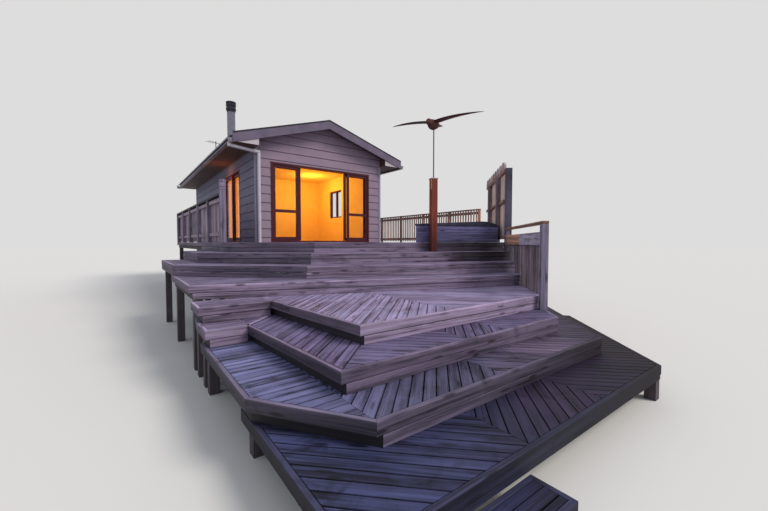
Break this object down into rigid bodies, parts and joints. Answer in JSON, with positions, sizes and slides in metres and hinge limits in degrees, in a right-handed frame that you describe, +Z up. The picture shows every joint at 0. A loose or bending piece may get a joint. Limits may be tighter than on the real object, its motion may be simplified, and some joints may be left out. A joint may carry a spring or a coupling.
{
  "type": "beach house",
  "caption": "Small timber beach house on piles with a low gabled steel roof and sliding glazed doors, above a timber deck that cascades down to the ground in angled steps.",
  "frame": {"origin": "foot of the pile under the front left corner of the house, on the lawn", "axes": "+X along the front wall to the right as seen from outside, +Y from the front wall to the back of the house, +Z up"},
  "size_m": [8.18, 16.715, 6.175],
  "materials": {
    "pile_timber": "rough sawn, weathered",
    "floor_boards": "clear finish, satin",
    "base_paint": "weathered paint, matt",
    "weatherboard_paint": "painted lapped boards, low sheen",
    "room_lining": "painted lining, matt",
    "roof_steel": "painted corrugated steel, satin",
    "barge_paint": "painted boards, satin",
    "eave_paint": "painted boards, satin",
    "gutter_steel": "painted steel, satin",
    "downpipe_plastic": "satin",
    "stainless_steel": "brushed, dulled by weather",
    "aerial_aluminium": "dull",
    "red_joinery": "painted joinery, satin",
    "glazing": "clear",
    "deck_timber": "weathered boards, matt",
    "post_timber": "weathered, matt",
    "fence_timber": "weathered boards, matt",
    "picket_timber": "stained, worn",
    "screen_timber": "stained boards, worn",
    "surround_timber": "painted boards, worn",
    "red_post_paint": "worn paint",
    "bird_timber": "oiled carving"
  },
  "bodies": {
    "house": {"house_piles": "pile_timber", "floor_platform": "floor_boards", "base_boards": "base_paint", "front_wall_left": "weatherboard_paint", "front_wall_right": "weatherboard_paint", "front_gable": "weatherboard_paint", "left_wall_front": "weatherboard_paint", "left_wall_back": "weatherboard_paint", "left_wall_head": "weatherboard_paint", "right_wall": "weatherboard_paint", "back_wall": "weatherboard_paint", "living_room_wall": "room_lining", "ceiling": "room_lining", "roof_left": "roof_steel", "roof_right": "roof_steel", "ridge_cap": "roof_steel", "barge_boards": "barge_paint", "eave_boxes": "eave_paint", "gutters": "gutter_steel", "downpipe": "downpipe_plastic", "flue": "stainless_steel", "flue_cowl": "stainless_steel", "tv_aerial": "aerial_aluminium", "front_door_frame": "red_joinery", "front_fixed_glass": "glazing", "side_door_frame": "red_joinery", "side_fixed_glass": "glazing", "window_frames": "red_joinery", "window_glass": "glazing", "upper_deck": "deck_timber", "left_side_deck": "deck_timber", "right_side_deck": "deck_timber", "stair_step_one": "deck_timber", "stair_step_two": "deck_timber", "stair_landing": "deck_timber", "terrace_one": "deck_timber", "terrace_two": "deck_timber", "terrace_three": "deck_timber", "terrace_four": "deck_timber", "bottom_step": "deck_timber", "side_treads": "deck_timber", "deck_posts": "post_timber", "left_fence": "fence_timber", "picket_fence": "picket_timber", "tall_screen": "screen_timber", "stair_screen": "fence_timber", "raised_surround": "surround_timber", "red_post": "red_post_paint", "bird_vane": "bird_timber"},
    "left_leaf": {"front_leaf_left": "red_joinery", "front_leaf_left_glass": "glazing"},
    "right_leaf": {"front_leaf_right": "red_joinery", "front_leaf_right_glass": "glazing"},
    "side_door_leaf": {"side_leaf": "red_joinery", "side_leaf_glass": "glazing"}
  },
  "joints": [
    {"name": "left_leaf_slide", "type": "slide", "parent": "house", "child": "left_leaf", "axis": [1, 0, 0], "range_m": [0, 0.667]},
    {"name": "right_leaf_slide", "type": "slide", "parent": "house", "child": "right_leaf", "axis": [-1, 0, 0], "range_m": [0, 0.667]},
    {"name": "side_leaf_slide", "type": "slide", "parent": "house", "child": "side_door_leaf", "axis": [0, 1, 0], "range_m": [0, 0.79]}
  ]
}
